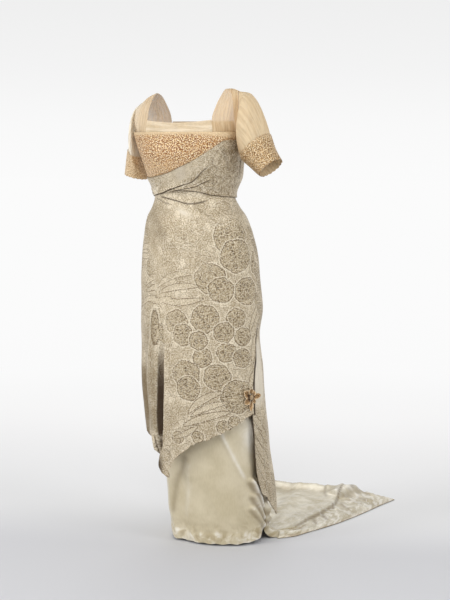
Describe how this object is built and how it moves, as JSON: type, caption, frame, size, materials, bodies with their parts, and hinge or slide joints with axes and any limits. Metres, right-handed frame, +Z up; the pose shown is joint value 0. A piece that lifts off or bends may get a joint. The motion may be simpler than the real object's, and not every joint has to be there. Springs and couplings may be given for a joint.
{
  "type": "evening dress",
  "caption": "Slim worn evening dress with lace bodice, wrapped brocade tunic, satin skirt and train.",
  "frame": {"origin": "midway between the two shoulder bands, at the mean height of their inner sides on the shoulders", "axes": "+Z up along the dress, -Y the way the front faces, +X the wearer's left"},
  "size_m": [0.6742, 0.9605, 1.3861],
  "materials": {
    "lace": "gold metal lace over peach net",
    "net": "fine cream silk net",
    "chiffon": "peach silk chiffon in flat pleats",
    "brocade": "silver-beige metal brocade",
    "satin": "cream silk satin",
    "gilt": "gilt ribbon and beads"
  },
  "bodies": {
    "root": {"bodice_front_lace": "lace", "bodice_back_lace": "lace", "neck_edging_front": "net", "neck_edging_back": "net", "shoulder_band_left": "chiffon", "shoulder_band_right": "chiffon", "sleeve_left": "net", "sleeve_right": "net", "cuff_left": "lace", "cuff_right": "lace", "wrap_front": "brocade", "wrap_back": "brocade", "tunic_front": "brocade", "tunic_back": "brocade", "underskirt_front": "satin", "underskirt_back_train": "satin", "rosette_centre": "gilt", "rosette_petal_1": "gilt", "rosette_petal_2": "gilt", "rosette_petal_3": "gilt", "rosette_petal_4": "gilt", "rosette_petal_5": "gilt", "rosette_petal_6": "gilt", "rosette_petal_7": "gilt"}
  },
  "joints": []
}
